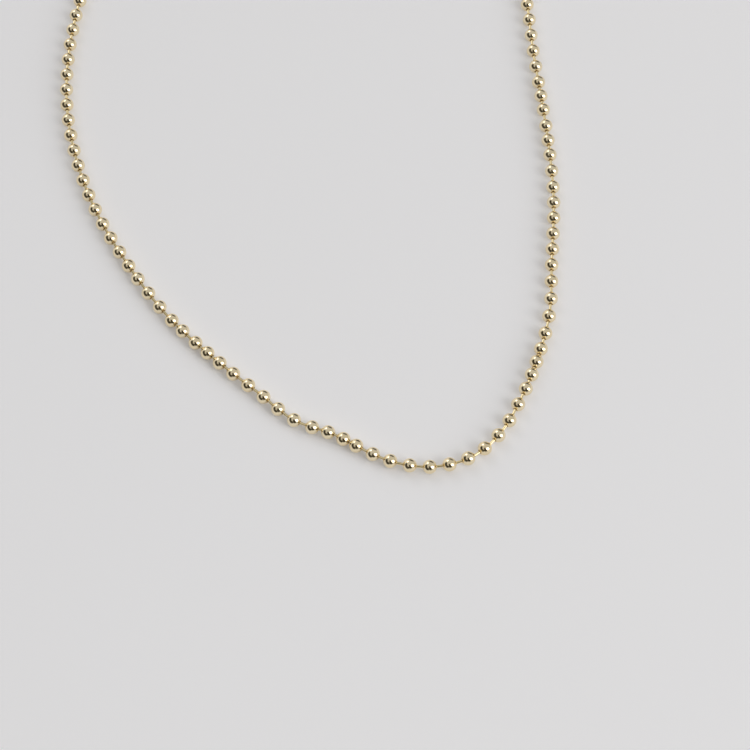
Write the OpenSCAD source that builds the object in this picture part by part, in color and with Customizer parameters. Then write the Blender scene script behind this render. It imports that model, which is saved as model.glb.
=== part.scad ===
// Ball chain necklace, fastened and laid flat as one closed loop.
// Hollow balls are joined by pins whose heads sit inside the balls, so each link can be
// drawn out or pushed together. The clasp holds the two end balls in a slotted tube.
// Z is up, the chain lies on Z = 0, and the origin is under the middle of its box.

/* [Chain] */
// Length of the fastened necklace with every link drawn out, measured along it
chain_length = 500; // [420:5:600]
// Outer diameter of a ball
ball_d = 3.2; // [2.6:0.1:4]
// Thickness of a ball's wall
ball_wall = 0.25; // [0.15:0.05:0.4]
// Length of bare pin between two balls that are drawn apart
bare_pin = 1.3; // [1:0.1:2.4]
// Share of its play that a link of the plain back stretch has taken up
back_slack = 0.18; // [0:0.02:0.6]

/* [Pins] */
// Diameter of a pin's shank
pin_d = 0.65; // [0.4:0.05:0.8]
// Thickness of the head at each end of a pin
head_t = 0.2; // [0.15:0.05:0.35]
// How far a head laps over the edge of its hole, all round
head_lap = 0.05; // [0.04:0.01:0.12]

/* [Clasp] */
// Thickness of the clasp's sheet
clasp_wall = 0.3; // [0.2:0.05:0.5]
// Space between the two end balls inside the clasp
clasp_gap = 2; // [0.6:0.2:4]
// Width of the slot along the top of the clasp
slot_w = 1; // [0.8:0.1:1.6]
// Diameter of the hole in each end of the clasp
neck_d = 1.6; // [1.2:0.1:2]

/* [Clearances] */
// Radial play of a pin in a ball's hole
hole_play = 0.16; // [0.12:0.01:0.2]
// Space left between a head and the inside of a ball when the link is drawn out
head_play = 0.23; // [0.16:0.01:0.25]
// Space between two balls, or two heads, that are pushed together
push_gap = 0.1; // [0.1:0.01:0.2]
// Play of an end ball inside the clasp, all round
clasp_play = 0.12; // [0.1:0.01:0.3]

/* [Hidden] */

// Facets for a quick look; the solids themselves are round
ball_facets = 48;
pin_facets = 32;
clasp_facets = 64;

// The way the chain lies, as chosen places in the plane, in order round the loop.
// The first run comes down the left arm, round the front and up the right arm,
// and the last ten places are the plain round back.
route = [
    [-56.5, 49], [-46.5, 35.5], [-34.5, 24], [-25.5, 16.5], [-17.5, 10], [-8.5, 6.5], [-4, 4],
    [3, 0.5], [14, -1], [22, 1.5], [28.5, 7.5], [32, 13.5], [36.5, 24], [40, 36.5], [41, 50],
    [42, 67], [41.5, 79.5], [40.5, 90], [38.5, 107.5], [37, 124.5],
    [34, 139], [24, 159], [8, 173], [-13, 178], [-35, 173], [-54, 159], [-67, 139], [-73, 115],
    [-73, 90], [-66, 66]
];

// Links that lie partly pushed together, from the left arm to the right one:
// first link, last link, and the share of its play that each has taken up
FIRST = 0;
LAST = 1;
TAKEN = 2;
pushed = [
    [0, 0, 0.35], [1, 3, 0], [4, 4, 0.65], [5, 5, 0.2], [6, 7, 0.6], [8, 8, 0.3], [9, 12, 0],
    [13, 13, 0.05], [14, 15, 0.6], [16, 16, 1], [17, 18, 0.25], [19, 26, 0.05], [27, 27, 0.2],
    [28, 28, 0.6], [29, 30, 0.9], [31, 31, 0.35], [32, 34, 0], [35, 35, 0.2], [36, 40, 0.3],
    [41, 42, 0.1], [43, 44, 0.4], [45, 45, 0], [46, 47, 0.5], [48, 51, 0], [52, 52, 0.05]
];
// Number of the ball at the middle of the front, which the clasp is opposite
front_ball = 21;
// Straight steps that each leg of the route is measured in
leg_steps = 12;

// Radii of the balls, holes and heads
ball_r = ball_d / 2;
bore_r = ball_r - ball_wall;
hole_r = pin_d / 2 + hole_play;
head_r = hole_r + head_lap;

// From a ball's centre to the middle of a hole's wall
hole_mid = (sqrt(pow(ball_r, 2) - pow(hole_r, 2)) + sqrt(pow(bore_r, 2) - pow(hole_r, 2))) / 2;

// From a ball's centre to the near face and the end face of a head that is drawn out
head_seat = sqrt(pow(bore_r - head_play, 2) - pow(head_r, 2));
head_end = head_seat - head_t;

// Centre distances of two linked balls, drawn out and pushed together,
// where every head stays on its own side of its ball's centre
pitch = ball_d + bare_pin;
pushed_pitch = max(ball_d + push_gap, pitch - 2 * head_end + push_gap);
shank_len = pitch - 2 * head_seat;

// The clasp round its two end balls
clasp_bore_r = ball_r + clasp_play;
clasp_r = clasp_bore_r + clasp_wall;
clasp_pitch = ball_d + clasp_gap;
clasp_bore_len = clasp_pitch + 2 * clasp_bore_r;
clasp_len = clasp_bore_len + 2 * clasp_wall;

ball_count = round((chain_length - clasp_pitch) / pitch) + 1;
clasp_link = front_ball + floor(ball_count / 2);

// Share of its play that link k has taken up
function taken(k) =
    let (rows = [for (row = pushed) if (k >= row[FIRST] && k <= row[LAST]) row[TAKEN]])
    len(rows) > 0 ? rows[0] : back_slack;

// Length of link k, from the centre of ball k to that of the next one
function link_len(k) =
    k == clasp_link ? clasp_pitch : pitch - (pitch - pushed_pitch) * taken(k);

// How far along the loop each ball lies, and the loop's whole length
ball_at = [for (k = 0, s = 0; k <= ball_count; s = s + link_len(k), k = k + 1) s];
loop_len = ball_at[ball_count];

// The route as a smooth closed curve: each leg is a cubic whose end slopes come from
// the legs on both sides, weighted by their lengths
function place(k) = route[(k + len(route)) % len(route)];
function leg(k) = norm(place(k + 1) - place(k));
function heading(k) = (place(k + 1) - place(k)) / leg(k);
function slope(k) =
    (leg(k) * heading(k - 1) + leg(k - 1) * heading(k)) / (leg(k - 1) + leg(k));
function on_leg(k, t) =
    (1 + 2 * t) * pow(1 - t, 2) * place(k)
    + t * pow(1 - t, 2) * leg(k) * slope(k)
    + t * t * (3 - 2 * t) * place(k + 1)
    - t * t * (1 - t) * leg(k) * slope(k + 1);
curve = [
    for (k = [0 : len(route) - 1]) for (i = [0 : leg_steps - 1]) on_leg(k, i / leg_steps),
    place(0)
];
curve_len = [
    for (i = 0, s = 0; i < len(curve); s = s + norm(curve[min(i + 1, len(curve) - 1)] - curve[i]),
        i = i + 1) s
];

// The curve is drawn to the size that takes the chain's own length
lay_scale = loop_len / curve_len[len(curve) - 1];
lay_x = [for (i = [0 : len(curve) - 1]) [lay_scale * curve_len[i], lay_scale * curve[i].x]];
lay_y = [for (i = [0 : len(curve) - 1]) [lay_scale * curve_len[i], lay_scale * curve[i].y]];

// Balls lie on the floor, and the two end balls at the height of the clasp's middle
function ball_z(k) = k == clasp_link || k == clasp_link + 1 ? clasp_r : ball_r;
laid = [
    for (k = [0 : ball_count - 1])
    [lookup(ball_at[k], lay_x), lookup(ball_at[k], lay_y), ball_z(k)]
];

// Middle, direction and half box of the clasp before the loop is centred
clasp_mid = (laid[clasp_link] + laid[clasp_link + 1]) / 2;
clasp_dir = unit(laid[clasp_link + 1] - laid[clasp_link]);
clasp_half = [
    abs(clasp_dir.x) * clasp_len / 2 + abs(clasp_dir.y) * clasp_r,
    abs(clasp_dir.y) * clasp_len / 2 + abs(clasp_dir.x) * clasp_r
];

// The middle of the whole necklace's box along an axis, 0 for X and 1 for Y
function box_mid(axis) =
    let (
        low = min([for (p = laid) p[axis] - ball_r]),
        high = max([for (p = laid) p[axis] + ball_r])
    )
    (min(low, clasp_mid[axis] - clasp_half[axis])
        + max(high, clasp_mid[axis] + clasp_half[axis])) / 2;
centring = [-box_mid(0), -box_mid(1), 0];

function unit(v) = v / norm(v);
function centre(k) = laid[(k + ball_count) % ball_count] + centring;
// A ball's holes are in line with the two balls beside it
function hole_dir(k) = unit(centre(k + 1) - centre(k - 1));
// The place of a hole, on the side of the next ball (1) or of the one before (-1)
function hole(k, side) = centre(k) + side * hole_mid * hole_dir(k);

// Turns children from Z to the direction v
module aim(v) {
    rotate([0, acos(v.z / norm(v)), atan2(v.y, v.x)])
        children();
}

// One hollow ball, drilled through along Z
module ball() {
    difference() {
        sphere(r = ball_r, $fn = ball_facets);
        sphere(r = bore_r, $fn = ball_facets);
        cylinder(h = 2 * ball_d, r = hole_r, center = true, $fn = pin_facets);
    }
}

// One pin along Z, centred, with a flat head at each end
module pin() {
    rotate_extrude($fn = pin_facets)
        polygon([
            [0, -shank_len / 2 - head_t],
            [head_r, -shank_len / 2 - head_t],
            [head_r, -shank_len / 2],
            [pin_d / 2, -shank_len / 2],
            [pin_d / 2, shank_len / 2],
            [head_r, shank_len / 2],
            [head_r, shank_len / 2 + head_t],
            [0, shank_len / 2 + head_t]
        ]);
}

// All the balls of the chain
module balls() {
    color([0.86, 0.77, 0.55])
        for (k = [0 : ball_count - 1])
            translate(centre(k))
                aim(hole_dir(k))
                    ball();
}

// All the pins, one to each link but the clasp's
module pins() {
    color([0.82, 0.70, 0.42])
        for (k = [0 : ball_count - 1])
            if (k != clasp_link)
                let (from = hole(k, 1), to = hole(k + 1, -1))
                    translate((from + to) / 2)
                        aim(to - from)
                            pin();
}

// A sheet tube with turned-in ends, open along its top
module clasp() {
    color([0.84, 0.74, 0.50])
        translate(clasp_mid + centring)
            rotate([0, 0, atan2(clasp_dir.y, clasp_dir.x)])
                difference() {
                    rotate([0, 90, 0])
                        cylinder(h = clasp_len, r = clasp_r, center = true, $fn = clasp_facets);
                    rotate([0, 90, 0])
                        cylinder(h = clasp_bore_len, r = clasp_bore_r, center = true,
                            $fn = clasp_facets);
                    rotate([0, 90, 0])
                        cylinder(h = 2 * clasp_len, d = neck_d, center = true, $fn = clasp_facets);
                    translate([-clasp_len, -slot_w / 2, 0])
                        cube([2 * clasp_len, slot_w, 2 * clasp_r]);
                }
}

balls();
pins();
clasp();
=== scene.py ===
"""The looks of a ball chain necklace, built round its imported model: balls, pins, clasp and stage.

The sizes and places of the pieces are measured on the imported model, in metres. A ball and a pin are
profiles turned round their axis, the clasp is a bent sheet swept round its tube, and each is worked
out as whole arrays.
"""
import math

import bpy
import numpy as np
from bpy.props import FloatProperty, FloatVectorProperty, IntProperty, PointerProperty
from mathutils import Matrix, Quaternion, Vector


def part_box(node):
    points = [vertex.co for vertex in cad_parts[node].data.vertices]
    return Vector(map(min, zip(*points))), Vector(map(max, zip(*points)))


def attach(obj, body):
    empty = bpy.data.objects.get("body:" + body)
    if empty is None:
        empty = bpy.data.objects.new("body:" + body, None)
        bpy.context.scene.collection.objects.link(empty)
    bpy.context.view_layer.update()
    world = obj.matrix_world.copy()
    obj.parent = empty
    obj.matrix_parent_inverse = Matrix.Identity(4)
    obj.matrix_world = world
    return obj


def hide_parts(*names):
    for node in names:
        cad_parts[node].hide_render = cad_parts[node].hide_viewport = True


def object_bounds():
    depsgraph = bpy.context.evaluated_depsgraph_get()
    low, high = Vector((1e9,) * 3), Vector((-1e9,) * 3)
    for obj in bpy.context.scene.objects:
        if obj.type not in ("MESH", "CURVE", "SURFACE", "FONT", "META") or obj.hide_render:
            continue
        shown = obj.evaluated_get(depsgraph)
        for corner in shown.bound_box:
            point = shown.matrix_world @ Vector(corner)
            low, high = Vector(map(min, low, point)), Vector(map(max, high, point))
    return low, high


bl_info = {
    "name": "Ball Chain Necklace",
    "version": (1, 0, 0),
    "blender": (4, 5, 0),
    "location": "3D View > Sidebar > Necklace",
    "description": "Builds the balls, pins and clasp of a ball chain necklace, and a plain studio",
    "category": "Add Mesh",
}

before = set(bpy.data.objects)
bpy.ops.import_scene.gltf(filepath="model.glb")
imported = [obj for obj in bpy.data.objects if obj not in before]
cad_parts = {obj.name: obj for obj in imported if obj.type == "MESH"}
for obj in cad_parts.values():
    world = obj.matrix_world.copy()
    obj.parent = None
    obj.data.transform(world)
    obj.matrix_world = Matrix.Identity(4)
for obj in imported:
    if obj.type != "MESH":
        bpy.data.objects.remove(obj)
CAD_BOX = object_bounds()

MM = 0.001
BODY = "root"
UP = np.array((0.0, 0.0, 1.0))
SEED = 7


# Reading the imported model

# Shares of a measure by which the corners of one part are told from those beside them: a head's rim
# from its shank, the shank from its heads, and the clasp's bore from its necks and its outer side
HEAD_FROM = 0.9
SHANK_TO = 0.501
BORE_FROM = 1.1
BORE_TO = 0.98


def solids_of(node):
    """A node's triangles as places, shape (triangles, 3, 3), and the solid's number of each.

    Triangles that share a place belong to one solid: every place takes the lowest number that it
    meets in a triangle, over and over, until none changes.
    """
    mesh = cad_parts[node].data
    points = np.empty(len(mesh.vertices) * 3, np.float32)
    mesh.vertices.foreach_get("co", points)
    mesh.calc_loop_triangles()
    corners = np.empty(len(mesh.loop_triangles) * 3, np.int32)
    mesh.loop_triangles.foreach_get("vertices", corners)
    merged, place = np.unique(points.reshape(-1, 3), axis=0, return_inverse=True)
    triangles = place.ravel()[corners].reshape(-1, 3)
    label = np.arange(len(merged))
    before = np.full_like(label, -1)
    while (label != before).any():
        before = label.copy()
        np.minimum.at(label, triangles.ravel(), np.repeat(label[triangles].min(axis=1), 3))
        label = label[label]
    owner = np.unique(label[triangles[:, 0]], return_inverse=True)[1].ravel()
    return merged[triangles].astype(float), owner


def middles_of(triangles, owner):
    """The middle of each solid: the mean of its triangles' middles, each counted by its area."""
    sides = triangles[:, 1:] - triangles[:, :1]
    area = np.linalg.norm(np.cross(sides[:, 0], sides[:, 1]), axis=1)
    weighed = triangles.mean(axis=1) * area[:, None]
    total = np.bincount(owner, area)
    sums = np.stack([np.bincount(owner, weighed[:, i]) for i in range(3)], axis=1)
    return sums / total[:, None]


def unit(v):
    """Each row of v at length one."""
    return v / np.linalg.norm(v, axis=-1, keepdims=True)


def in_order(places, first):
    """The places in the order of a walk from one of them, each time to the nearest one left."""
    left = np.ones(len(places), bool)
    walk = [first]
    left[first] = False
    while left.any():
        away = np.where(left, np.linalg.norm(places - places[walk[-1]], axis=1), np.inf)
        walk.append(int(away.argmin()))
        left[walk[-1]] = False
    return places[walk]


def corners_from_axes(triangles, owner, middles, places, axes):
    """How far each corner is along its own solid's axis and away from it, from the solid's place."""
    nearest = np.linalg.norm(middles[:, None] - places[None], axis=2).argmin(axis=1)
    number = nearest[np.repeat(owner, 3)]
    arms = triangles.reshape(-1, 3) - places[number]
    along = (arms * axes[number]).sum(axis=1)
    return along, np.linalg.norm(arms - along[:, None] * axes[number], axis=1)


class Chain:
    """Places, directions and sizes of the balls, pins and clasp, as packed."""

    def __init__(self):
        """Measures the balls first, because pins and clasp are placed by them."""
        self.measure_balls()
        self.measure_pins()
        self.measure_clasp()

    def measure_balls(self):
        """The balls from one end ball to the other, their holes in line with the balls beside."""
        triangles, owner = solids_of("balls")
        middles = middles_of(triangles, owner)
        clasp_low, clasp_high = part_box("clasp")
        from_clasp = middles - np.array((clasp_low + clasp_high) / 2)
        self.balls = in_order(middles, int(np.linalg.norm(from_clasp, axis=1).argmin()))
        self.ball_axes = unit(np.roll(self.balls, -1, axis=0) - np.roll(self.balls, 1, axis=0))
        along, away = corners_from_axes(triangles, owner, middles, self.balls, self.ball_axes)
        reach = np.hypot(along, away)
        self.ball_r = float(reach.max())
        self.bore_r = float(reach.min())
        self.hole_r = float(away.min())

    def measure_pins(self):
        """Each pin from the middle of one ball's hole to that of the next."""
        triangles, owner = solids_of("pins")
        middles = middles_of(triangles, owner)
        hole_ends = [math.sqrt(r ** 2 - self.hole_r ** 2) for r in (self.ball_r, self.bore_r)]
        hole_arm = sum(hole_ends) / 2 * self.ball_axes
        out = (self.balls + hole_arm)[:-1]
        into = (self.balls - hole_arm)[1:]
        self.pins = (out + into) / 2
        self.pin_axes = unit(into - out)
        along, away = corners_from_axes(triangles, owner, middles, self.pins, self.pin_axes)
        self.pin_len = float(2 * abs(along).max())
        self.head_r = float(away.max())
        self.shank_len = float(2 * abs(along[away > HEAD_FROM * self.head_r]).min())
        self.shank_r = float(away[abs(along) < SHANK_TO * self.shank_len].min())

    def measure_clasp(self):
        """The clasp lies round the two end balls."""
        triangles, _ = solids_of("clasp")
        self.clasp_middle = (self.balls[0] + self.balls[-1]) / 2
        self.clasp_axis = unit(self.balls[-1] - self.balls[0])
        arms = triangles.reshape(-1, 3) - self.clasp_middle
        along = arms @ self.clasp_axis
        away = np.linalg.norm(arms - along[:, None] * self.clasp_axis, axis=1)
        self.clasp_len = float(2 * abs(along).max())
        self.clasp_r = float(away.max())
        self.neck_r = float(away.min())
        bore = away[(away > BORE_FROM * self.neck_r) & (away < BORE_TO * self.clasp_r)]
        self.clasp_wall = float(self.clasp_r - np.median(bore))
        self.slot_w = float(2 * abs(arms[arms[:, 2] > 0] @ np.cross(UP, self.clasp_axis)).min())


chain = Chain()


# Sizes and colours that a user would change

class NecklaceBalls(bpy.types.PropertyGroup):
    """The hollow balls."""

    radius: FloatProperty(
        name="Radius", description="Outer radius of a ball",
        default=chain.ball_r, min=0.0005, unit="LENGTH")
    bore_radius: FloatProperty(
        name="Inner Radius", description="Radius of the hollow inside",
        default=chain.bore_r, min=0.0004, unit="LENGTH")
    hole_radius: FloatProperty(
        name="Hole Radius", description="Radius of the two holes",
        default=chain.hole_r, min=0.0001, unit="LENGTH")
    lip: FloatProperty(
        name="Lip", description="Rounding of the outer edge of a hole",
        default=0.06 * MM, min=0, unit="LENGTH")
    inner_lip: FloatProperty(
        name="Inner Lip", description="Rounding of the inner edge of a hole",
        default=0.04 * MM, min=0, unit="LENGTH")
    sides: IntProperty(
        name="Sides", description="Facets round a ball's axis", default=28, min=8)
    facets: IntProperty(
        name="Facets", description="Facets of the outer arc on each side of the middle",
        default=7, min=4)
    color: FloatVectorProperty(
        name="Gold", description="Pale gold of the plating",
        default=(0.93, 0.815, 0.58), subtype="COLOR", min=0, max=1)
    # This darker, warmer gold is each ball's random deeper tone, and also painted shade round the holes
    tone_and_hole_shade_color: FloatVectorProperty(
        name="Deep Gold", description="Warmer gold of the plating at the holes",
        default=(0.90, 0.70, 0.38), subtype="COLOR", min=0, max=1)
    roughness: FloatProperty(
        name="Roughness", description="Roughness of the polish where it is best",
        default=0.05, min=0, max=1, subtype="FACTOR")
    wear: FloatProperty(
        name="Wear", description="Roughness that rubbing adds in places",
        default=0.05, min=0, max=1, subtype="FACTOR")


class NecklacePins(bpy.types.PropertyGroup):
    """The pins that join the balls."""

    radius: FloatProperty(
        name="Radius", description="Radius of the wire",
        default=chain.shank_r, min=0.0001, unit="LENGTH")
    length: FloatProperty(
        name="Length", description="Length over both heads",
        default=chain.pin_len, min=0.001, unit="LENGTH")
    shank_length: FloatProperty(
        name="Shank Length", description="Length between the heads",
        default=chain.shank_len, min=0.001, unit="LENGTH")
    head_radius: FloatProperty(
        name="Head Radius", description="Radius of a head",
        default=chain.head_r, min=0.0001, unit="LENGTH")
    rounding: FloatProperty(
        name="Rounding", description="Rounding of the edges of a head",
        default=0.05 * MM, min=0, unit="LENGTH")
    sides: IntProperty(
        name="Sides", description="Facets round a pin", default=16, min=8)
    color: FloatVectorProperty(
        name="Gold", description="Gold of the wire",
        default=(0.93, 0.80, 0.50), subtype="COLOR", min=0, max=1)
    roughness: FloatProperty(
        name="Roughness", description="Roughness of the drawn wire",
        default=0.06, min=0, max=1, subtype="FACTOR")


class NecklaceClasp(bpy.types.PropertyGroup):
    """The slotted tube that holds the two end balls."""

    radius: FloatProperty(
        name="Radius", description="Outer radius of the tube",
        default=chain.clasp_r, min=0.0005, unit="LENGTH")
    length: FloatProperty(
        name="Length", description="Length of the tube",
        default=chain.clasp_len, min=0.002, unit="LENGTH")
    wall: FloatProperty(
        name="Wall", description="Thickness of the sheet",
        default=chain.clasp_wall, min=0.0001, unit="LENGTH")
    neck_radius: FloatProperty(
        name="Neck Radius", description="Radius of the hole in each end",
        default=chain.neck_r, min=0.0003, unit="LENGTH")
    slot: FloatProperty(
        name="Slot", description="Width of the slot along the top",
        default=chain.slot_w, min=0.0003, unit="LENGTH")
    shoulder: FloatProperty(
        name="Shoulder", description="Bend radius of the sheet at each end, in mid-thickness",
        default=0.25 * MM, min=0.0001, unit="LENGTH")
    edge: FloatProperty(
        name="Edge", description="Rounding of the sheet's cut edges",
        default=0.07 * MM, min=0, unit="LENGTH")
    sides: IntProperty(
        name="Sides", description="Facets round the tube", default=64, min=16)
    color: FloatVectorProperty(
        name="Gold", description="Gold of the sheet",
        default=(0.92, 0.78, 0.52), subtype="COLOR", min=0, max=1)
    roughness: FloatProperty(
        name="Roughness", description="Roughness of the brushed sheet",
        default=0.18, min=0, max=1, subtype="FACTOR")


class NecklaceStage(bpy.types.PropertyGroup):
    """The floor, the lights and the camera."""

    floor_size: FloatProperty(
        name="Floor Size", description="Side of the square floor",
        default=8, min=1, unit="LENGTH")
    floor_color: FloatVectorProperty(
        name="Floor", description="Colour of the floor",
        default=(0.88, 0.88, 0.9), subtype="COLOR", min=0, max=1)
    floor_glow: FloatProperty(
        name="Floor Glow", description="Light that the floor gives off, to keep the shadows pale",
        default=0.14, min=0)
    room_color: FloatVectorProperty(
        name="Room", description="Colour of the room's light",
        default=(1.0, 0.99, 0.975), subtype="COLOR", min=0, max=1)
    dark_color: FloatVectorProperty(
        name="Dark Things", description="Tint of the light from the dark things in the room",
        default=(1.0, 0.9, 0.72), subtype="COLOR", min=0, max=1)
    room_strength: FloatProperty(
        name="Room Strength", description="Brightness of the room", default=0.57, min=0)
    key_color: FloatVectorProperty(
        name="Key", description="Colour of the main light",
        default=(1.0, 0.99, 0.975), subtype="COLOR", min=0, max=1)
    key_strength: FloatProperty(
        name="Key Strength", description="Power of the main light",
        default=12.4, min=0, unit="POWER")
    key_direction: FloatVectorProperty(
        name="Key Direction", description="Way from the necklace to the main light",
        default=(0.73, -0.38, 0.57), subtype="DIRECTION")
    key_distance: FloatProperty(
        name="Key Distance", description="From the necklace to the main light",
        default=1.8, min=0.2, unit="LENGTH")
    key_width: FloatProperty(
        name="Key Width", description="Width of the oval main light",
        default=1.2, min=0.1, unit="LENGTH")
    key_height: FloatProperty(
        name="Key Height", description="Height of the oval main light",
        default=1.8, min=0.1, unit="LENGTH")
    key_roll: FloatProperty(
        name="Key Roll", description="Turn of the main light's long side from upright",
        default=math.radians(30), min=-math.pi, max=math.pi, subtype="ANGLE")
    aim: FloatVectorProperty(
        name="Aim", description="Place on the floor that the camera looks at",
        default=(0.0162, -0.0666, 0), subtype="XYZ", unit="LENGTH")
    distance: FloatProperty(
        name="Distance", description="From the camera to that place",
        default=0.4951, min=0.1, unit="LENGTH")
    elevation: FloatProperty(
        name="Elevation", description="Angle of the camera's view below the horizon",
        default=math.radians(65), min=0, max=math.pi / 2, subtype="ANGLE")
    lens: FloatProperty(
        name="Lens", description="Focal length of the camera, in millimetres",
        default=105, min=20, unit="CAMERA")


# Curves and surfaces: every place carries the way in which the surface faces there

# Takes rows of place and facing to the other side of the middle
MIRROR = (-1, 1, -1, 1)
# Facets of the small roundings: the outer and inner lip of a ball's hole, the arc of its hollow, the
# two edges of a pin's head beside its shank, the head's rim, and the clasp's bends and cut edges
LIP_FACETS = 3
INNER_LIP_FACETS = 1
HOLLOW_FACETS = 3
FILLET_FACETS = 2
RIM_FACETS = 3
BEND_FACETS = 6
EDGE_FACETS = 3
# Rounding of the slot's edges, as a share of that of the sheet's other edges
SLOT_EDGE = 0.8


def arc(middle, radius, start, end, steps, facing=1):
    """Places on a circle: middle + radius (cos a, sin a), with a in even steps from start to end.

    The surface faces away from the middle, or towards it where facing is -1. Returns rows of place
    and facing.
    """
    a = np.linspace(start, end, steps + 1)
    way = np.stack([np.cos(a), np.sin(a)], axis=1)
    return np.concatenate([np.array(middle) + radius * way, facing * way], axis=1)


def half_arc(radius, end, facets, facing):
    """Places on a circle about the middle, from half a facet beside its top to the angle end."""
    step = (math.pi / 2 - end) / (facets - 0.5)
    return arc((0, 0), radius, math.pi / 2 - step / 2, end, facets - 1, facing)


def ball_profile(size):
    """Section of a drilled hollow ball, as (along, away) from its axis, closed in itself.

    The outer arc ends in a fillet that touches the ball and its hole, so the fillet's centre is one
    lip away from both: at (sqrt((R - lip)^2 - (h + lip)^2), h + lip). The wall of the hole ends in a
    like fillet inside, at (sqrt((r + lip)^2 - (h + lip)^2), h + lip), and an arc leads back along the
    hollow. The other half mirrors it.
    """
    outer_away = size.hole_radius + size.lip
    outer_along = math.sqrt((size.radius - size.lip) ** 2 - outer_away ** 2)
    inner_away = size.hole_radius + size.inner_lip
    inner_along = math.sqrt((size.bore_radius + size.inner_lip) ** 2 - inner_away ** 2)
    outer_a = math.atan2(outer_away, outer_along)
    inner_a = math.atan2(inner_away, inner_along)
    down = -math.pi / 2
    half = np.concatenate([
        half_arc(size.radius, outer_a, size.facets, 1),
        arc((outer_along, outer_away), size.lip, outer_a, down, LIP_FACETS)[1:],
        arc((inner_along, inner_away), size.inner_lip, down, inner_a - math.pi, INNER_LIP_FACETS),
        half_arc(size.bore_radius, inner_a, HOLLOW_FACETS, -1)[::-1][1:],
    ])
    return np.concatenate([half, half[::-1] * MIRROR])


def pin_profile(size):
    """Section of a headed pin, as (along, away) from its axis, from one end of it to the other.

    From a third of the way along it, the shank runs into a fillet, the near face of the head, its
    rounded rim and its flat end. The other half mirrors it.
    """
    shank_end = size.shank_length / 2
    pin_end = size.length / 2
    r = size.rounding
    near_rim = (shank_end + r, size.head_radius - r)
    far_rim = (pin_end - r, size.head_radius - r)
    half = np.concatenate([
        [(shank_end / 3, size.radius, 0, 1)],
        arc((shank_end - r, size.radius + r), r, -math.pi / 2, 0, FILLET_FACETS, -1),
        arc(near_rim, r, math.pi, math.pi / 2, FILLET_FACETS),
        arc(far_rim, r, math.pi / 2, 0, RIM_FACETS),
        [(pin_end, 0, 1, 0)],
    ])
    return np.concatenate([half[::-1] * MIRROR, half])


def grid_faces(numbers, closed):
    """Faces between neighbours on a grid of point numbers whose last column meets its first.

    Where closed is true, its last row meets its first too.
    """
    rows, columns = numbers.shape
    i, j = (each.ravel() for each in np.mgrid[0:rows if closed else rows - 1, 0:columns])
    below, beside = (i + 1) % rows, (j + 1) % columns
    corners = [numbers[i, j], numbers[i, beside], numbers[below, beside], numbers[below, j]]
    return np.stack(corners, axis=1)


def turned(profile, sides):
    """A profile turned round the first axis: (along, away cos t, away sin t), t all the way round.

    Returns points, each a place and a facing, and faces. Where the profile ends on the axis, its ring
    is one point, and each of its faces meets that point twice.
    """
    t = np.arange(sides)[:, None] * 2 * math.pi / sides
    along, away = profile.reshape(-1, 1, 2, 2).transpose(3, 0, 1, 2)
    rings = np.stack([along + 0 * t, away * np.cos(t), away * np.sin(t)], axis=-1)
    rows = len(profile)
    if profile[0, 1] > 0:
        numbers = np.arange(rows * sides).reshape(rows, sides)
        return rings.reshape(-1, 2, 3), grid_faces(numbers, True)
    inside = (rows - 2) * sides
    numbers = np.zeros((rows, sides), int)
    numbers[1:-1] = 1 + np.arange(inside).reshape(-1, sides)
    numbers[-1] = 1 + inside
    points = np.concatenate([rings[0, :1], rings[1:-1].reshape(-1, 2, 3), rings[-1, :1]])
    return points, grid_faces(numbers, False)


def frames_along(axes, roll):
    """For each axis three directions: the axis, and two across it, turned by roll from the level."""
    level = unit(np.cross(UP, axes))
    over = np.cross(axes, level)
    c, s = np.cos(roll)[:, None], np.sin(roll)[:, None]
    return np.stack([axes, c * level + s * over, c * over - s * level], axis=1)


def copies(points, faces, places, frames):
    """The points and faces of a surface once for each place, turned to that place's frame."""
    moved = np.einsum("vka,nab->nvkb", points, frames)
    moved[:, :, 0] += places[:, None]
    shift = np.arange(len(places))[:, None, None] * len(points)
    return moved.reshape(-1, 2, 3), (faces + shift).reshape(-1, 4)


def sheet_side(middle, across, out, wall, edge):
    """One side of a bent sheet: its middle line moved by half a wall along across, ends rounded.

    The rounding at each end is a quarter circle of radius edge, between across and out, the
    direction in which the sheet ends. Returns places and facings.
    """
    a = np.linspace(0, math.pi / 2, EDGE_FACETS + 1)[:, None]
    core = wall / 2 - edge
    head = np.cos(a) * out + np.sin(a) * across[0]
    tail = np.cos(a) * across[-1] + np.sin(a) * out
    places = np.concatenate([
        middle[0] + core * across[0] + edge * head,
        middle[1:-1] + wall / 2 * across[1:-1],
        middle[-1] + core * across[-1] + edge * tail,
    ])
    return places, np.concatenate([head, across[1:-1], tail])


def clasp_sheet(size):
    """Section of the clasp's sheet, as (along, away) from the tube's axis, with its facings.

    The middle line runs up one end, over a shoulder, along the tube with a place at each quarter, and
    down the other end. The outer side comes first and the inner side comes back, so place i of one
    lies across from place -1 - i of the whole.
    """
    end = (size.length - size.wall) / 2
    top = size.radius - size.wall / 2
    bend = size.shoulder
    shoulder = arc((end - bend, top - bend), bend, 0, math.pi / 2, BEND_FACETS)
    foot = np.array([
        (end, size.neck_radius + size.edge, 1, 0),
        (end, (size.neck_radius + top) / 2, 1, 0),
    ])
    run = np.array([(share * (end - bend), top, 0, 1) for share in (0.75, 0.5, 0.25)])
    half = np.concatenate([foot, shoulder, run])
    whole = np.concatenate([half * MIRROR, half[::-1]])
    middle, across = whole[:, :2], whole[:, 2:]
    out = np.array((0, -1))
    outer, outer_facing = sheet_side(middle, across, out, size.wall, size.edge)
    inner, inner_facing = sheet_side(middle, -across, out, size.wall, size.edge)
    places = np.concatenate([outer, inner[::-1]])
    return places, np.concatenate([outer_facing, inner_facing[::-1]])


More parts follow.
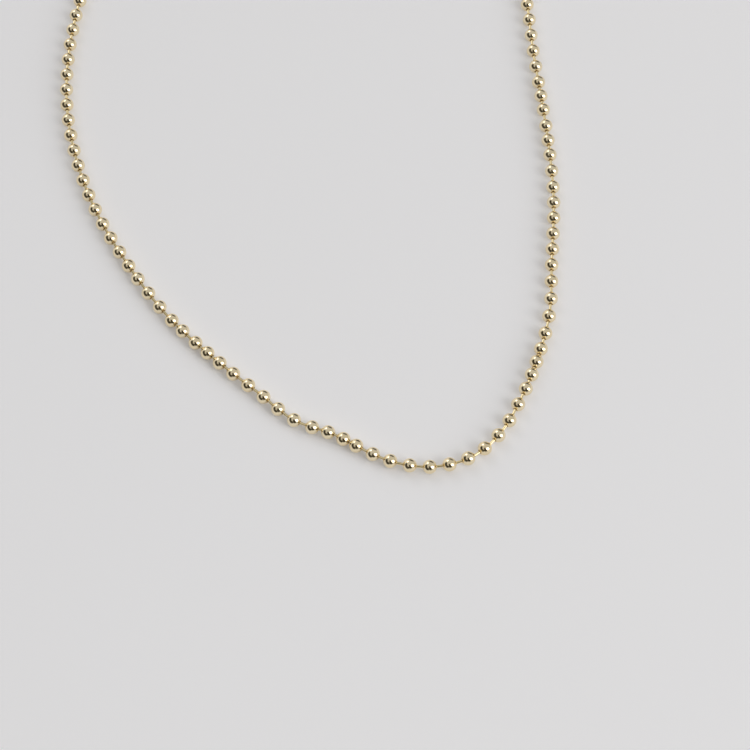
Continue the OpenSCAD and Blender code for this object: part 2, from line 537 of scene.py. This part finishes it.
def clasp_surface(size):
    """The clasp's sheet swept round its tube, open along the top.

    A place at (along, away) goes to (along, away sin t, -away cos t), from t = T to -T with
    T = pi - asin(g / away), so that it ends at the distance g from the middle of the slot, at any
    away. In the first and last rows g shrinks by a quarter circle to half the slot, and the section
    with it, which rounds the cut edge. That rounding is a little smaller than the section's own, so
    that the corners stay open to it.
    """
    section, facing = clasp_sheet(size)
    cut = SLOT_EDGE * size.edge
    rows = EDGE_FACETS + 1
    quarter = np.linspace(0, math.pi / 2, rows)
    a = np.concatenate([quarter[::-1], np.zeros(size.sides - 1), quarter])
    between = np.linspace(1, -1, size.sides + 1)[1:-1]
    side = np.concatenate([np.ones(rows), between, -np.ones(rows)])
    gap = size.slot / 2 + cut * (1 - np.sin(a))
    place = section[None] - (cut * (1 - np.cos(a)))[:, None, None] * facing[None]
    t = side[:, None] * (math.pi - np.arcsin(gap[:, None] / place[..., 1]))
    way = np.stack([np.sin(t), -np.cos(t)], axis=-1)
    places = np.concatenate([place[..., :1], place[..., 1:] * way], axis=-1)
    faced = np.concatenate([facing[None, :, :1] + 0 * t[..., None], facing[None, :, 1:] * way], axis=-1)
    into_slot = np.array((0, -1, 0)) * side[:, None, None]
    faced = unit(np.cos(a)[:, None, None] * faced + np.sin(a)[:, None, None] * into_slot)
    numbers = np.arange(t.size).reshape(t.shape)
    outer = numbers[:, :len(section) // 2]
    inner = numbers[:, :len(section) // 2 - 1:-1]
    near, far = (
        np.stack([outer[row, :-1], outer[row, 1:], inner[row, 1:], inner[row, :-1]], axis=1)
        for row in (0, -1))
    points = np.stack([places, faced], axis=-2).reshape(-1, 2, 3)
    return points, np.concatenate([grid_faces(numbers, False), near[:, ::-1], far])


def as_polygons(faces):
    """Faces as lists of point numbers, with a point that a face meets twice left out once."""
    keep = faces != np.roll(faces, 1, axis=1)
    if keep.all():
        return faces.tolist()
    return [face[kept].tolist() for face, kept in zip(faces, keep)]


def volume_of(places, faces):
    """The volume that the faces enclose from outside: the sum of a . (b x c) / 6 over triangles."""
    a, b, c, d = (places[faces[:, i]] for i in range(4))
    return ((a * np.cross(b, c)).sum() + (a * np.cross(c, d)).sum()) / 6


def add_piece(name, shape, own, tone, material, node):
    """Makes the mesh of a piece, gives it its finish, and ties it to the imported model.

    shape is its points and faces, own each point's place on its own part, and tone one chance number
    for each point.
    """
    points, faces = shape
    volume = volume_of(points[:, 0], faces)
    if volume <= 0:
        raise ValueError(f"{name} is inside out: its volume is {volume / MM ** 3:.2f} mm3")
    mesh = bpy.data.meshes.new(name)
    mesh.from_pydata(points[:, 0], [], as_polygons(faces))
    own_data = mesh.attributes.new("own", "FLOAT_VECTOR", "POINT").data
    own_data.foreach_set("vector", own.astype(np.float32).ravel())
    tone_data = mesh.attributes.new("tone", "FLOAT", "POINT").data
    tone_data.foreach_set("value", tone.astype(np.float32))
    mesh.shade_smooth()
    mesh.normals_split_custom_set_from_vertices(points[:, 1].tolist())
    mesh.materials.append(material)
    piece = bpy.data.objects.new(name, mesh)
    bpy.context.scene.collection.objects.link(piece)
    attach(piece, BODY)
    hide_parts(node)


# Finishes

# Patterns, in features to a metre. Lines have one number along them and one across
BALL_CLOUDS = 700
BALL_GRAIN = 5200
BALL_DENTS = 700
WIRE_CLOUDS = 1500
WIRE_LINES = (150, 9000)
SHEET_CLOUDS = 500
SHEET_LINES = (300, 14000)
FLOOR_CLOUDS = 9
FLOOR_GRAIN = 2600
# How far apart in a pattern the parts with the chance numbers 0 and 1 read it
PATTERN_SHIFT = 40
# The two numbers that a noise mostly keeps between
NOISE_RANGE = (0.3, 0.7)

# Heights of the patterns, at strength one
BALL_RELIEF = 0.02 * MM
WIRE_RELIEF = 0.01 * MM
SHEET_RELIEF = 0.012 * MM
FLOOR_RELIEF = 0.03 * MM
# Shares of a ball's relief that its grain and its closing line take
GRAIN_SHARE = 0.04
LINE_SHARE = 0.25

# How far from a ball's axis, in hole radii, the painted shade round a hole, a darker and warmer gold,
# is whole and has faded out
HOLE_PAINTED_SHADE = (1.05, 1.5)
# How far to its side, in ball radii, a ball's closing line is whole and has faded out
CLOSING_LINE = (0.012, 0.03)
# The warmth that a ball's tone and its clouds add at most
TONE_WARMTH = 0.22
CLOUD_WARMTH = 0.18
# The product of clouds and grain at which a ball's polish starts to be rubbed, and is wholly rubbed
RUBBED = (0.15, 0.4)
# The roughness that the drilling leaves round a hole
HOLE_ROUGHNESS = 0.12

# The deeper tone of wire, sheet and floor, as shares of their colour, and how much of it each
# pattern brings
WIRE_DEEP = (0.94, 0.86, 0.72)
SHEET_DEEP = (0.93, 0.86, 0.74)
FLOOR_DEEP = (0.97, 0.97, 0.97)
WIRE_CLOUD_TONE = 0.6
SHEET_CLOUD_TONE = 0.5
SHEET_LINE_TONE = 0.4
FLOOR_TONE = 0.5
# The roughness between the lines and on them, as shares of the piece's own
WIRE_ROUGHNESS = (0.7, 1.5)
SHEET_ROUGHNESS = (0.8, 1.6)
# The floor's least and greatest roughness, and its gloss, where 0.5 is usual
FLOOR_ROUGHNESS = (0.62, 0.72)
FLOOR_GLOSS = 0.2


class Finish:
    """A material's nodes, with short ways to add one and to join it to the others."""

    def __init__(self, name):
        """A new material with a plain principled shader."""
        self.material = bpy.data.materials.new(name)
        self.material.use_nodes = True
        self.tree = self.material.node_tree
        self.shader = self.tree.nodes["Principled BSDF"]

    def set(self, **values):
        """Sets or joins the shader's own sockets, named with _ for a space."""
        for key, value in values.items():
            socket = key.replace("_", " ").title().replace("Ior", "IOR")
            self.feed(self.shader.inputs[socket], value)

    def feed(self, socket, value):
        """Joins a socket to another one, or sets it to a number or colour."""
        if isinstance(value, bpy.types.NodeSocket):
            self.tree.links.new(value, socket)
        elif isinstance(socket, bpy.types.NodeSocketColor) and len(value) == 3:
            socket.default_value = (*value, 1)
        else:
            socket.default_value = value

    def add(self, kind, *values, out=0, **settings):
        """Adds a node, sets it up, feeds its first sockets in order, and returns one output."""
        made = self.tree.nodes.new(kind)
        for key, value in settings.items():
            setattr(made, key, value)
        for socket, value in zip([s for s in made.inputs if s.enabled], values):
            if value is not None:
                self.feed(socket, value)
        return made.outputs[out]

    def math(self, operation, *values):
        """A number from one or two others."""
        return self.add("ShaderNodeMath", *values, operation=operation)

    def tone(self):
        """The chance number of each ball, pin or other part, from 0 to 1."""
        return self.add("ShaderNodeAttribute", out=2, attribute_name="tone")

    def own_place(self, along, across):
        """The place on each part, from its middle and along its axis first, times two numbers."""
        place = self.add("ShaderNodeAttribute", out=1, attribute_name="own")
        return self.add("ShaderNodeVectorMath", place, (along, across, across), operation="MULTIPLY")

    def shifted(self, place):
        """A place moved by the chance number along all three axes, so that each part differs."""
        shift = self.math("MULTIPLY", self.tone(), PATTERN_SHIFT)
        return self.add("ShaderNodeVectorMath", place, shift, operation="ADD")

    def split(self, vector):
        """The three numbers of a vector."""
        made = self.tree.nodes.new("ShaderNodeSeparateXYZ")
        self.feed(made.inputs[0], vector)
        return made.outputs

    def object_place(self):
        """The place on the piece, in metres."""
        return self.add("ShaderNodeTexCoord", out=3)

    def noise(self, place, scale=1.0, detail=3.0):
        """Smooth noise from 0 to 1, with features about 1 / scale wide in units of the place."""
        return self.add("ShaderNodeTexNoise", place, scale, detail)

    def spread(self, value, low, high, to_low, to_high):
        """A number taken from one range to another, held at its ends."""
        return self.add("ShaderNodeMapRange", value, low, high, to_low, to_high)

    def mix(self, share, first, second):
        """A colour between two."""
        made = self.tree.nodes.new("ShaderNodeMix")
        made.data_type = "RGBA"
        self.feed(made.inputs["Factor"], share)
        self.feed(made.inputs[6], first)
        self.feed(made.inputs[7], second)
        return made.outputs[2]

    def deepened(self, share, color, deep):
        """A colour that goes, by a share, to itself times the three numbers of deep."""
        return self.mix(share, tuple(color), tuple(c * k for c, k in zip(color, deep)))

    def bump(self, height, depth, strength=1.0):
        """A normal that follows a height, which has its whole depth, in metres, at strength one."""
        made = self.tree.nodes.new("ShaderNodeBump")
        made.inputs["Strength"].default_value = strength
        made.inputs["Distance"].default_value = depth
        self.feed(made.inputs["Height"], height)
        return made.outputs[0]


def polished_gold(size):
    """Bright plated balls: a soft polish, faintly rubbed, with painted shade in a darker, warmer gold
    round the holes, one tone a ball.

    Each ball is a little uneven in its own way, and a faint line runs from hole to hole, where its
    strip closed.
    """
    finish = Finish("polished_gold")
    place = finish.object_place()
    cloud = finish.noise(place, BALL_CLOUDS)
    fine = finish.noise(place, BALL_GRAIN, detail=5.0)
    own = finish.split(finish.own_place(1 / size.radius, 1 / size.radius))
    squares = [finish.math("POWER", own[axis], 2.0) for axis in (1, 2)]
    away = finish.math("SQRT", finish.math("ADD", *squares))
    # Painted shade: round each hole the gold turns darker and warmer, as shade where the pin goes in;
    # the random tone and clouds use the same gold
    hole_shade_to, hole_shade_from = (share * size.hole_radius / size.radius for share in HOLE_PAINTED_SHADE)
    lip = finish.spread(away, hole_shade_from, hole_shade_to, 0.0, 1.0)
    warmth_and_hole_shade = finish.math("ADD", finish.math("MULTIPLY", finish.tone(), TONE_WARMTH),
                         finish.math("MULTIPLY", cloud, CLOUD_WARMTH))
    warmth_and_hole_shade = finish.math("MAXIMUM", warmth_and_hole_shade, lip)
    rubbed = finish.spread(finish.math("MULTIPLY", cloud, fine), *RUBBED,
                           size.roughness, size.roughness + size.wear)
    line = finish.spread(finish.math("ABSOLUTE", own[1]), *CLOSING_LINE, 1.0, 0.0)
    line = finish.math("MULTIPLY", line, finish.math("GREATER_THAN", own[2], 0.0))
    dents = finish.noise(finish.shifted(finish.own_place(BALL_DENTS, BALL_DENTS)), detail=1.0)
    height = finish.math("SUBTRACT", finish.math("MULTIPLY", fine, GRAIN_SHARE),
                         finish.math("MULTIPLY", line, LINE_SHARE))
    height = finish.math("ADD", height, dents)
    finish.set(base_color=finish.mix(warmth_and_hole_shade, tuple(size.color), tuple(size.tone_and_hole_shade_color)),
               metallic=1.0,
               roughness=finish.math("ADD", rubbed, finish.math("MULTIPLY", lip, HOLE_ROUGHNESS)),
               normal=finish.bump(height, BALL_RELIEF))
    return finish.material


def drawn_gold(size):
    """Plated wire with the fine lengthwise lines of drawing, deeper in tone in faint clouds."""
    finish = Finish("drawn_gold")
    lines = finish.noise(finish.shifted(finish.own_place(*WIRE_LINES)), detail=4.0)
    cloud = finish.noise(finish.object_place(), WIRE_CLOUDS)
    tone = finish.math("MULTIPLY", cloud, WIRE_CLOUD_TONE)
    roughness = (share * size.roughness for share in WIRE_ROUGHNESS)
    finish.set(base_color=finish.deepened(tone, size.color, WIRE_DEEP), metallic=1.0,
               roughness=finish.spread(lines, *NOISE_RANGE, *roughness),
               normal=finish.bump(lines, WIRE_RELIEF, strength=0.25))
    return finish.material


def brushed_gold(size):
    """Plated sheet, brushed lengthwise, deeper in tone in faint clouds and in the lines."""
    finish = Finish("brushed_gold")
    lines = finish.noise(finish.own_place(*SHEET_LINES), detail=6.0)
    cloud = finish.noise(finish.object_place(), SHEET_CLOUDS)
    tone = finish.math("ADD", finish.math("MULTIPLY", cloud, SHEET_CLOUD_TONE),
                       finish.math("MULTIPLY", lines, SHEET_LINE_TONE))
    roughness = (share * size.roughness for share in SHEET_ROUGHNESS)
    finish.set(base_color=finish.deepened(tone, size.color, SHEET_DEEP), metallic=1.0,
               roughness=finish.spread(lines, *NOISE_RANGE, *roughness),
               normal=finish.bump(lines, SHEET_RELIEF, strength=0.3))
    return finish.material


def pale_floor(size):
    """A matt pale floor with a fine even grain, which glows a little."""
    finish = Finish("pale_floor")
    place = finish.object_place()
    grain = finish.noise(place, FLOOR_GRAIN, detail=4.0)
    cloud = finish.noise(place, FLOOR_CLOUDS, detail=2.0)
    tone = finish.math("MULTIPLY", finish.math("ADD", grain, cloud), FLOOR_TONE)
    finish.set(base_color=finish.deepened(tone, size.floor_color, FLOOR_DEEP),
               roughness=finish.spread(grain, *NOISE_RANGE, *FLOOR_ROUGHNESS),
               normal=finish.bump(grain, FLOOR_RELIEF, strength=0.15),
               emission_color=tuple(size.floor_color), emission_strength=size.floor_glow,
               specular_ior_level=FLOOR_GLOSS)
    return finish.material


# The pieces

class NecklaceOperator:
    """What all the operators share."""

    bl_options = {"REGISTER", "UNDO"}


def add_parts(name, surface, places, axes, material, node):
    """Adds a piece of like parts, one at each place, each with a roll and a tone of its own."""
    points, faces = surface
    drawn = np.random.default_rng(SEED)
    roll = drawn.uniform(0, 2 * math.pi, len(places))
    tone = drawn.uniform(0, 1, len(places))
    shape = copies(points, faces, places, frames_along(axes, roll))
    own = np.tile(points[:, 0], (len(places), 1))
    add_piece(name, shape, own, np.repeat(tone, len(points)), material, node)


class NECKLACE_OT_balls(NecklaceOperator, bpy.types.Operator):
    """Builds the hollow drilled balls of the chain"""

    bl_idname = "necklace.balls"
    bl_label = "Add Balls"

    def execute(self, context):
        """Turns one ball's section round its axis and copies it to each place."""
        size = context.scene.necklace_balls
        add_parts("chain_balls", turned(ball_profile(size), size.sides), chain.balls,
                  chain.ball_axes, polished_gold(size), "balls")
        return {"FINISHED"}


class NECKLACE_OT_pins(NecklaceOperator, bpy.types.Operator):
    """Builds the headed pins that join the balls"""

    bl_idname = "necklace.pins"
    bl_label = "Add Pins"

    def execute(self, context):
        """Turns one pin's section round its axis and copies it to each link."""
        size = context.scene.necklace_pins
        add_parts("chain_pins", turned(pin_profile(size), size.sides), chain.pins,
                  chain.pin_axes, drawn_gold(size), "pins")
        return {"FINISHED"}


class NECKLACE_OT_clasp(NecklaceOperator, bpy.types.Operator):
    """Builds the slotted tube clasp round the two end balls"""

    bl_idname = "necklace.clasp"
    bl_label = "Add Clasp"

    def execute(self, context):
        """Sweeps the clasp's sheet round its tube and lays it at its place."""
        size = context.scene.necklace_clasp
        points, faces = clasp_surface(size)
        frames = frames_along(chain.clasp_axis[None], np.zeros(1))
        add_piece("tube_clasp", copies(points, faces, chain.clasp_middle[None], frames),
                  points[:, 0], np.zeros(len(points)), brushed_gold(size), "clasp")
        return {"FINISHED"}


# The stage

# Soft windows of the room. Each row holds a direction, the angles from it in degrees at which the
# window is whole and at which it has faded out, and how much it adds to the room's brightness
WINDOWS = (
    ((-0.42, 0.65, 0.64), 7, 15, 1.6),
    ((-0.60, 0.75, 0.28), 12, 36, 0.3),
)
# Dark things in the room. Each row holds a direction and the angle in degrees that it reaches from
# there. Where two of them are near, they melt into one
DARK_THINGS = (
    ((-0.83, 0.04, 0.56), 17),
    ((-0.89, -0.24, 0.40), 14),
    ((-0.61, -0.75, 0.30), 22),
    ((0.26, -0.77, 0.56), 24),
    ((-0.08, -0.42, 0.90), 10),
    ((0.50, 0.86, 0.15), 13),
    ((0.33, 0.93, 0.17), 13),
    ((0.16, 0.98, 0.15), 12),
)
# How steep the hills of the dark things are, the heights at which the dark starts and is whole, and
# the share of the light that it takes away there
STEEPNESS = 6.0
DARK_FROM = 0.75
DARK_WHOLE = 1.3
DARKNESS = 0.915

# The width of the camera's sensor in millimetres, and where its view starts and ends in metres
SENSOR_WIDTH = 36
CLIP_START = 0.01
CLIP_END = 20


class RoomNodes:
    """The nodes of the room's light."""

    def __init__(self, tree):
        """Starts from an empty tree and the direction that the light comes from."""
        self.tree = tree
        tree.nodes.clear()
        self.way = self.add("ShaderNodeTexCoord").outputs["Generated"]

    def add(self, kind):
        """A new node."""
        return self.tree.nodes.new(kind)

    def feed(self, socket, value):
        """Joins a socket to another one, or sets it."""
        if isinstance(value, bpy.types.NodeSocket):
            self.tree.links.new(value, socket)
        else:
            socket.default_value = value

    def math(self, operation, first, second=0.0):
        """A number from one or two others."""
        made = self.add("ShaderNodeMath")
        made.operation = operation
        self.feed(made.inputs[0], first)
        self.feed(made.inputs[1], second)
        return made.outputs[0]

    def spread(self, value, low, high, gain):
        """Nothing below low and gain above high, smooth between."""
        made = self.add("ShaderNodeMapRange")
        made.interpolation_type = "SMOOTHSTEP"
        self.feed(made.inputs["Value"], value)
        made.inputs["From Min"].default_value = low
        made.inputs["From Max"].default_value = high
        made.inputs["To Max"].default_value = gain
        return made.outputs[0]

    def towards(self, direction):
        """The cosine of the angle from a direction."""
        made = self.add("ShaderNodeVectorMath")
        made.operation = "DOT_PRODUCT"
        self.feed(made.inputs[0], self.way)
        made.inputs[1].default_value = Vector(direction).normalized()
        return made.outputs["Value"]

    def window(self, direction, whole, faded, gain):
        """The light that a round window adds."""
        edge, rim = (math.cos(math.radians(angle)) for angle in (faded, whole))
        return self.spread(self.towards(direction), edge, rim, gain)

    def hill(self, direction, reach):
        """A hill round a direction, e^(STEEPNESS (cos angle - cos reach) / sin reach): one at reach."""
        reach = math.radians(reach)
        rise = self.math("SUBTRACT", self.towards(direction), math.cos(reach))
        return self.math("EXPONENT", self.math("MULTIPLY", rise, STEEPNESS / math.sin(reach)))

    def mix(self, share, first, second):
        """A colour between two."""
        made = self.add("ShaderNodeMix")
        made.data_type = "RGBA"
        self.feed(made.inputs["Factor"], share)
        made.inputs[6].default_value = (*first, 1)
        made.inputs[7].default_value = (*second, 1)
        return made.outputs[2]

    def background(self, color, strength):
        """A light of a colour."""
        made = self.add("ShaderNodeBackground")
        self.feed(made.inputs["Color"], color)
        self.feed(made.inputs["Strength"], strength)
        return made.outputs[0]


def room_light(size):
    """The room: a pale light, soft windows and dark things, and a plain backdrop to the camera.

    The light is its even part plus what the windows add, times one less the dark. The dark grows with
    the sum of the dark things' hills.
    """
    world = bpy.data.worlds.new("room")
    world.use_nodes = True
    room = RoomNodes(world.node_tree)
    light = size.room_strength
    for window in WINDOWS:
        light = room.math("ADD", light, room.window(*window))
    hills = 0.0
    for thing in DARK_THINGS:
        hills = room.math("ADD", hills, room.hill(*thing))
    dark = room.spread(hills, DARK_FROM, DARK_WHOLE, DARKNESS)
    light = room.math("MULTIPLY", light, room.math("SUBTRACT", 1.0, dark))
    color = room.mix(dark, size.room_color, size.dark_color)
    either = room.add("ShaderNodeMixShader")
    room.feed(either.inputs[0], room.add("ShaderNodeLightPath").outputs["Is Camera Ray"])
    room.feed(either.inputs[1], room.background(color, light))
    room.feed(either.inputs[2], room.background((*size.floor_color, 1), 1.0))
    room.feed(room.add("ShaderNodeOutputWorld").inputs["Surface"], either.outputs[0])
    bpy.context.scene.world = world


class NECKLACE_OT_stage(NecklaceOperator, bpy.types.Operator):
    """Sets up the floor, the lights and the camera"""

    bl_idname = "necklace.stage"
    bl_label = "Add Studio"

    def execute(self, context):
        """Makes the floor just under the necklace, then light and camera."""
        size = context.scene.necklace_stage
        self.floor(context, size)
        room_light(size)
        self.key(context, size)
        self.camera(context, size)
        context.scene.view_settings.view_transform = "Standard"
        return {"FINISHED"}

    def floor(self, context, size):
        """A square at the height of the lowest ball."""
        half = size.floor_size / 2
        level = CAD_BOX[0].z
        corners = [(x * half, y * half, level) for x, y in ((-1, -1), (1, -1), (1, 1), (-1, 1))]
        mesh = bpy.data.meshes.new("floor")
        mesh.from_pydata(corners, [], [(0, 1, 2, 3)])
        mesh.materials.append(pale_floor(size))
        floor = bpy.data.objects.new("floor", mesh)
        context.scene.collection.objects.link(floor)

    def key(self, context, size):
        """A soft oval light that faces the camera's aim, turned by its roll about its direction."""
        light = bpy.data.lights.new("key", "AREA")
        light.shape = "ELLIPSE"
        light.size = size.key_width
        light.size_y = size.key_height
        light.energy = size.key_strength
        light.color = size.key_color
        way = Vector(size.key_direction).normalized()
        turn = Quaternion(way, size.key_roll) @ way.to_track_quat("Z", "Y")
        holder = bpy.data.objects.new("key", light)
        holder.location = Vector(size.aim) + size.key_distance * way
        holder.rotation_euler = turn.to_euler()
        context.scene.collection.objects.link(holder)

    def camera(self, context, size):
        """A camera that looks along +Y and down to the aim."""
        lens = bpy.data.cameras.new("camera")
        lens.lens = size.lens
        lens.sensor_width = SENSOR_WIDTH
        lens.clip_start = CLIP_START
        lens.clip_end = CLIP_END
        camera = bpy.data.objects.new("camera", lens)
        back = Vector((0, -math.cos(size.elevation), math.sin(size.elevation)))
        camera.location = Vector(size.aim) + size.distance * back
        camera.rotation_euler = (math.pi / 2 - size.elevation, 0, 0)
        context.scene.collection.objects.link(camera)
        context.scene.camera = camera


class NECKLACE_PT_panel(bpy.types.Panel):
    """The necklace's pieces and stage in the sidebar."""

    bl_label = "Ball Chain Necklace"
    bl_idname = "NECKLACE_PT_panel"
    bl_space_type = "VIEW_3D"
    bl_region_type = "UI"
    bl_category = "Necklace"

    def draw(self, context):
        """One button for each operator, above the values that it uses."""
        for operator, group in STEPS:
            self.layout.operator(f"necklace.{operator}")
            values = getattr(context.scene, group)
            for name in values.__annotations__:
                self.layout.prop(values, name)


STEPS = (
    ("stage", "necklace_stage"),
    ("balls", "necklace_balls"),
    ("pins", "necklace_pins"),
    ("clasp", "necklace_clasp"),
)
GROUPS = {
    "necklace_stage": NecklaceStage,
    "necklace_balls": NecklaceBalls,
    "necklace_pins": NecklacePins,
    "necklace_clasp": NecklaceClasp,
}
CLASSES = (
    *GROUPS.values(),
    NECKLACE_OT_stage,
    NECKLACE_OT_balls,
    NECKLACE_OT_pins,
    NECKLACE_OT_clasp,
    NECKLACE_PT_panel,
)


def register():
    """Adds the classes and the values that they use."""
    for each in CLASSES:
        bpy.utils.register_class(each)
    for name, group in GROUPS.items():
        setattr(bpy.types.Scene, name, PointerProperty(type=group))


def unregister():
    """Takes them away again."""
    for name in GROUPS:
        delattr(bpy.types.Scene, name)
    for each in reversed(CLASSES):
        bpy.utils.unregister_class(each)


def main():
    """Builds the stage and every piece."""
    register()
    for operator, _ in STEPS:
        getattr(bpy.ops.necklace, operator)()


if __name__ == "__main__":
    main()
